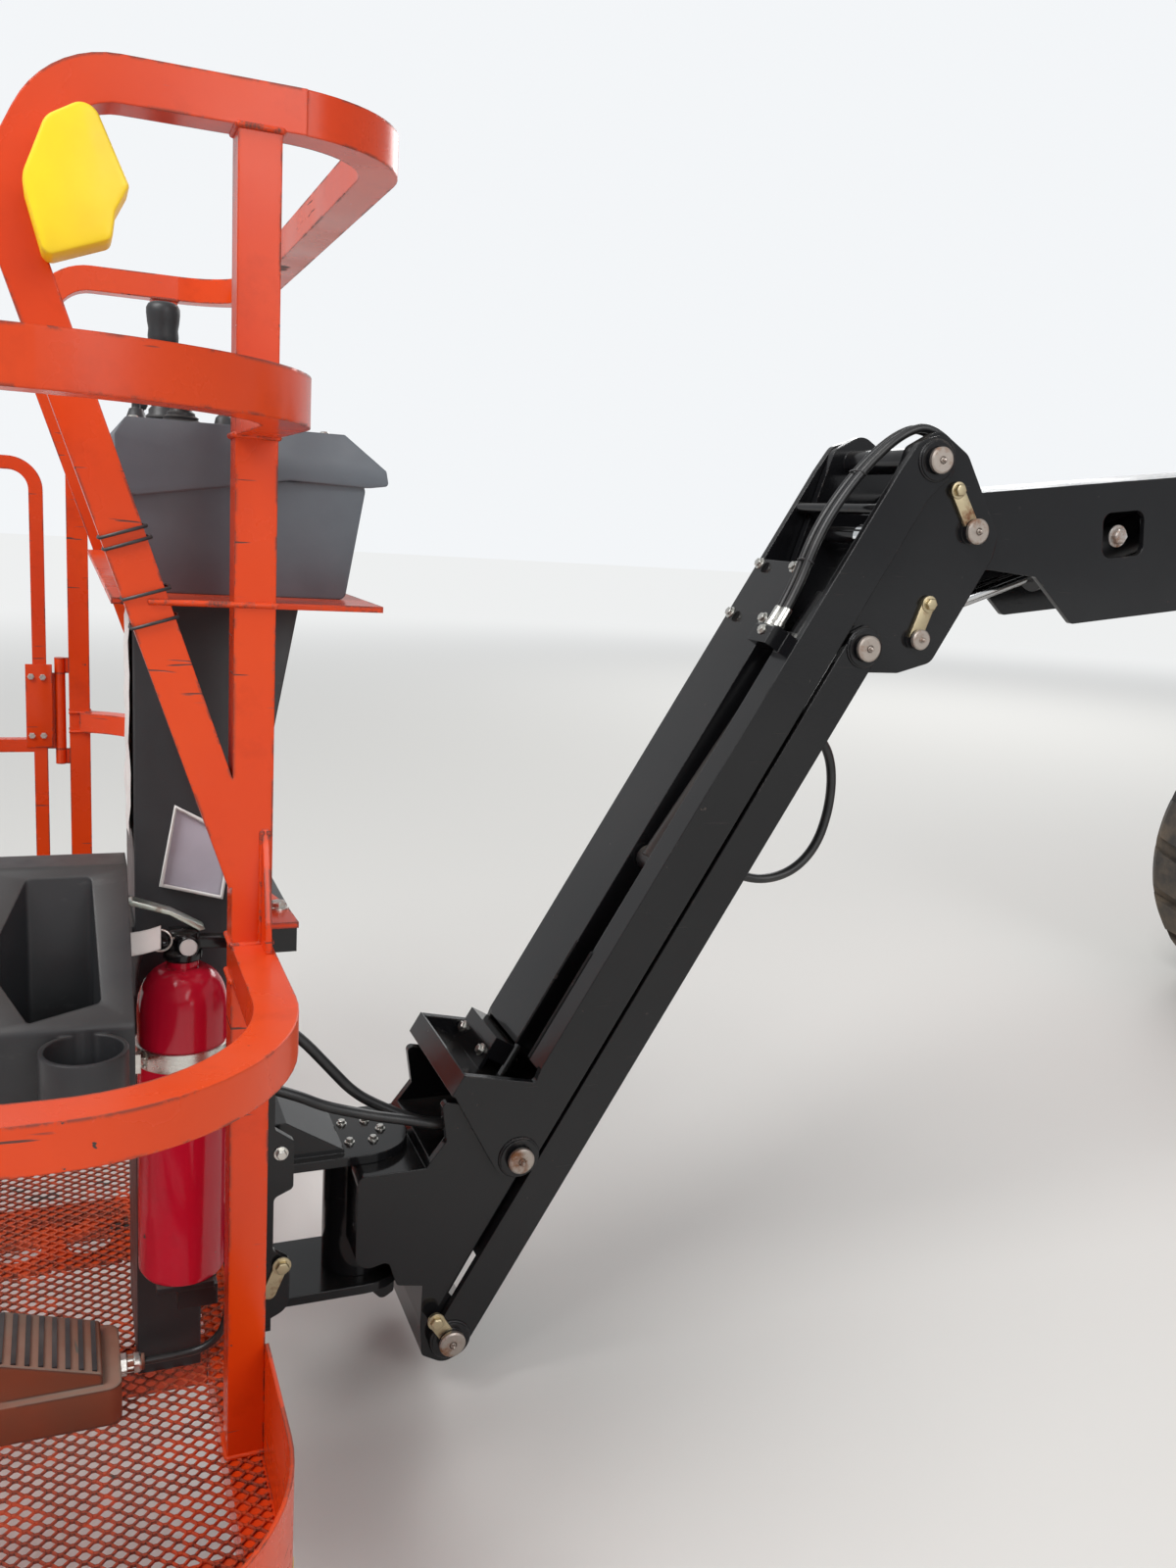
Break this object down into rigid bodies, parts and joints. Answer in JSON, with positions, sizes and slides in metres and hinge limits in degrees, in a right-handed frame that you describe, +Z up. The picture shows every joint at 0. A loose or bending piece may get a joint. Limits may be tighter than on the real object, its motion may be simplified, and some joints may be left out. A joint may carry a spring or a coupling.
{
  "type": "articulating boom lift",
  "caption": "Self-propelled articulating boom lift, stowed, with tower boom, telescoping main boom, jib and rotating work platform.",
  "frame": {"origin": "on the ground, on the slewing axis of the turntable", "axes": "+Z up along the slewing axis, +X towards the machine's tail, -X towards the work platform"},
  "size_m": [6.627, 2.34, 2.0114],
  "materials": {
    "orange_paint": "semi-gloss paint, scuffed and chipped",
    "black_paint": "gloss paint",
    "grey_paint": "satin paint, dusty",
    "cream_paint": "satin paint, dusty",
    "tyre_rubber": "dusty block tread",
    "chrome_rod": "polished hard chrome",
    "cylinder_paint": "satin paint",
    "grey_plastic": "moulded, fine grain",
    "dark_plastic": "moulded, fine grain",
    "black_rubber": "smooth",
    "red_paint": "gloss paint",
    "zinc": "zinc plated",
    "yellow_plastic": "moulded, scuffed",
    "bare_steel": "bare, lightly rusted",
    "cast_grey": "rough cast, painted"
  },
  "bodies": {
    "chassis": {"chassis_frame": "grey_paint", "front_axle": "grey_paint", "rear_axle": "grey_paint", "slew_ring": "bare_steel"},
    "steer_left": {"knuckle_left": "grey_paint"},
    "steer_right": {"knuckle_right": "grey_paint"},
    "track_rod": {"track_rod": "grey_paint"},
    "wheel_front_left": {"tyre_front_left": "tyre_rubber", "rim_front_left": "cream_paint"},
    "wheel_front_right": {"tyre_front_right": "tyre_rubber", "rim_front_right": "cream_paint"},
    "wheel_rear_left": {"tyre_rear_left": "tyre_rubber", "rim_rear_left": "cream_paint"},
    "wheel_rear_right": {"tyre_rear_right": "tyre_rubber", "rim_rear_right": "cream_paint"},
    "turntable": {"turntable_base": "grey_paint", "counterweight": "cast_grey", "engine_block": "cast_grey", "fuel_tank": "dark_plastic", "ground_panel": "grey_plastic"},
    "hood_left": {"hood_left": "orange_paint"},
    "hood_right": {"hood_right": "orange_paint"},
    "tower": {"tower_boom": "orange_paint"},
    "tower_link": {"tower_link": "orange_paint"},
    "upright": {"upright": "orange_paint"},
    "tower_barrel": {"tower_cylinder_barrel": "cylinder_paint"},
    "tower_rod": {"tower_cylinder_rod": "chrome_rod"},
    "boom": {"main_boom": "orange_paint"},
    "lift_barrel": {"lift_cylinder_barrel": "cylinder_paint"},
    "lift_rod": {"lift_cylinder_rod": "chrome_rod"},
    "fly": {"fly_boom": "black_paint"},
    "level_barrel": {"level_cylinder_barrel": "cylinder_paint"},
    "level_rod": {"level_cylinder_rod": "chrome_rod"},
    "knuckle": {"jib_knuckle": "black_paint"},
    "jib": {"jib_beam": "black_paint", "jib_hose_near": "black_rubber", "jib_hose_far": "black_rubber"},
    "jib_link": {"jib_link": "black_paint", "loop_hose": "black_rubber"},
    "jib_barrel": {"jib_cylinder_barrel": "cylinder_paint"},
    "jib_rod": {"jib_cylinder_rod": "chrome_rod"},
    "platform_knuckle": {"platform_knuckle": "black_paint", "low_hose_a": "black_rubber", "low_hose_b": "black_rubber"},
    "platform": {"platform_support": "black_paint", "platform_frame": "orange_paint", "platform_floor": "orange_paint", "toe_board": "orange_paint", "guard_frame": "orange_paint", "console_box": "grey_plastic", "console_column": "dark_plastic", "control_levers": "black_rubber", "tool_tray": "dark_plastic", "extinguisher": "red_paint", "extinguisher_bracket": "zinc", "foot_switch": "orange_paint", "corner_pad": "yellow_plastic", "foot_cable": "black_rubber"},
    "gate": {"gate": "orange_paint"}
  },
  "joints": [
    {"name": "steer_left", "type": "hinge", "parent": "chassis", "child": "steer_left", "pos_m": [-0.99, 0.8, 0.42], "axis": [0, 0, 1], "range_deg": [-35, 35]},
    {"name": "steer_right", "type": "hinge", "parent": "chassis", "child": "steer_right", "pos_m": [-0.99, -0.8, 0.42], "axis": [0, 0, 1], "range_deg": [-35, 35]},
    {"name": "track_rod_turn", "type": "hinge", "parent": "steer_left", "child": "track_rod", "pos_m": [-0.82, 0.8, 0.375], "axis": [0, 0, 1], "range_deg": [-35, 35]},
    {"name": "spin_front_left", "type": "hinge", "parent": "steer_left", "child": "wheel_front_left", "pos_m": [-0.99, 1.015, 0.42], "axis": [0, 1, 0], "continuous": true},
    {"name": "spin_rear_left", "type": "hinge", "parent": "chassis", "child": "wheel_rear_left", "pos_m": [0.99, 1.015, 0.42], "axis": [0, 1, 0], "continuous": true},
    {"name": "spin_front_right", "type": "hinge", "parent": "steer_right", "child": "wheel_front_right", "pos_m": [-0.99, -1.015, 0.42], "axis": [0, 1, 0], "continuous": true},
    {"name": "spin_rear_right", "type": "hinge", "parent": "chassis", "child": "wheel_rear_right", "pos_m": [0.99, -1.015, 0.42], "axis": [0, 1, 0], "continuous": true},
    {"name": "turntable_swing", "type": "hinge", "parent": "chassis", "child": "turntable", "pos_m": [0, 0, 0.85], "axis": [0, 0, 1], "range_deg": [-177, 177]},
    {"name": "hood_left_hinge", "type": "hinge", "parent": "turntable", "child": "hood_left", "pos_m": [0, 0.296, 1.434], "axis": [1, 0, 0], "range_deg": [0, 60]},
    {"name": "hood_right_hinge", "type": "hinge", "parent": "turntable", "child": "hood_right", "pos_m": [0, -0.296, 1.434], "axis": [-1, 0, 0], "range_deg": [0, 60]},
    {"name": "tower_lift", "type": "hinge", "parent": "turntable", "child": "tower", "pos_m": [-0.7, 0, 1.28], "axis": [0, -1, 0], "range_deg": [0, 68]},
    {"name": "tower_link_turn", "type": "hinge", "parent": "turntable", "child": "tower_link", "pos_m": [-0.55, 0, 1.031], "axis": [0, -1, 0], "range_deg": [0, 68]},
    {"name": "upright_level", "type": "hinge", "parent": "tower", "child": "upright", "pos_m": [0.9, 0, 1.28], "axis": [0, -1, 0], "range_deg": [-68, 0]},
    {"name": "main_lift", "type": "hinge", "parent": "upright", "child": "boom", "pos_m": [0.98, 0, 1.91], "axis": [0, 1, 0], "range_deg": [0, 80]},
    {"name": "fly_slide", "type": "slide", "parent": "boom", "child": "fly", "axis": [-0.9914, 0, -0.1307], "range_m": [0, 2.2]},
    {"name": "knuckle_level", "type": "hinge", "parent": "fly", "child": "knuckle", "pos_m": [-3.267, 0, 1.35], "axis": [0, -1, 0], "range_deg": [0, 80]},
    {"name": "jib_lift", "type": "hinge", "parent": "knuckle", "child": "jib", "pos_m": [-3.362, 0, 1.452], "axis": [0, 1, 0], "range_deg": [0, 135]},
    {"name": "jib_link_turn", "type": "hinge", "parent": "knuckle", "child": "jib_link", "pos_m": [-3.457, 0, 1.162], "axis": [0, 1, 0], "range_deg": [0, 135]},
    {"name": "platform_level", "type": "hinge", "parent": "jib", "child": "platform_knuckle", "pos_m": [-3.98, 0, 0.377], "axis": [0, -1, 0], "range_deg": [0, 135]},
    {"name": "platform_rotate", "type": "hinge", "parent": "platform_knuckle", "child": "platform", "pos_m": [-4.2, 0, 0.27], "axis": [0, 0, 1], "range_deg": [-90, 90]},
    {"name": "gate_swing", "type": "hinge", "parent": "platform", "child": "gate", "pos_m": [-4.612, 0.896, 0.7], "axis": [0, 0, 1], "range_deg": [0, 80]},
    {"name": "tower_barrel_turn", "type": "hinge", "parent": "turntable", "child": "tower_barrel", "pos_m": [0.66, 0, 0.965], "axis": [0, -1, 0], "range_deg": [-25.97, 0]},
    {"name": "tower_rod_slide", "type": "slide", "parent": "tower_barrel", "child": "tower_rod", "axis": [-0.9961, 0, 0.0882], "range_m": [0, 0.19963]},
    {"name": "lift_barrel_turn", "type": "hinge", "parent": "upright", "child": "lift_barrel", "pos_m": [0.825, 0, 1.48], "axis": [0, -1, 0], "range_deg": [-71.7, 0]},
    {"name": "lift_rod_slide", "type": "slide", "parent": "lift_barrel", "child": "lift_rod", "axis": [-0.9995, 0, 0.0317], "range_m": [0, 0.56083]},
    {"name": "level_barrel_turn", "type": "hinge", "parent": "fly", "child": "level_barrel", "pos_m": [-2.65232, 0, 1.43105], "axis": [0, -1, 0], "range_deg": [0, 3.04]},
    {"name": "level_rod_slide", "type": "slide", "parent": "level_barrel", "child": "level_rod", "axis": [-0.94, 0, -0.3413], "range_m": [-0.24569, 0]},
    {"name": "jib_barrel_turn", "type": "hinge", "parent": "jib", "child": "jib_barrel", "pos_m": [-3.74967, -0.0465, 0.80976], "axis": [0, -1, 0], "range_deg": [-3.17, 0]},
    {"name": "jib_rod_slide", "type": "slide", "parent": "jib_barrel", "child": "jib_rod", "axis": [0.545, 0, 0.8384], "range_m": [0, 0.23669]}
  ],
  "couplings": [
    {"joint": "steer_right", "follows": "steer_left", "ratio": 1},
    {"joint": "track_rod_turn", "follows": "steer_left", "ratio": -1},
    {"joint": "tower_link_turn", "follows": "tower_lift", "ratio": 1},
    {"joint": "upright_level", "follows": "tower_lift", "ratio": -1},
    {"joint": "knuckle_level", "follows": "main_lift", "ratio": 1},
    {"joint": "jib_link_turn", "follows": "jib_lift", "ratio": 1},
    {"joint": "platform_level", "follows": "jib_lift", "ratio": 1},
    {"joint": "tower_barrel_turn", "follows": "tower_lift", "ratio": -0.38191},
    {"joint": "tower_rod_slide", "follows": "tower_lift", "m_per_rad": 0.16821},
    {"joint": "lift_barrel_turn", "follows": "main_lift", "ratio": -0.8962},
    {"joint": "lift_rod_slide", "follows": "main_lift", "m_per_rad": 0.40166},
    {"joint": "level_barrel_turn", "follows": "main_lift", "ratio": 0.037971},
    {"joint": "level_rod_slide", "follows": "main_lift", "m_per_rad": -0.17596},
    {"joint": "jib_barrel_turn", "follows": "jib_lift", "ratio": -0.023476},
    {"joint": "jib_rod_slide", "follows": "jib_lift", "m_per_rad": 0.10046}
  ]
}
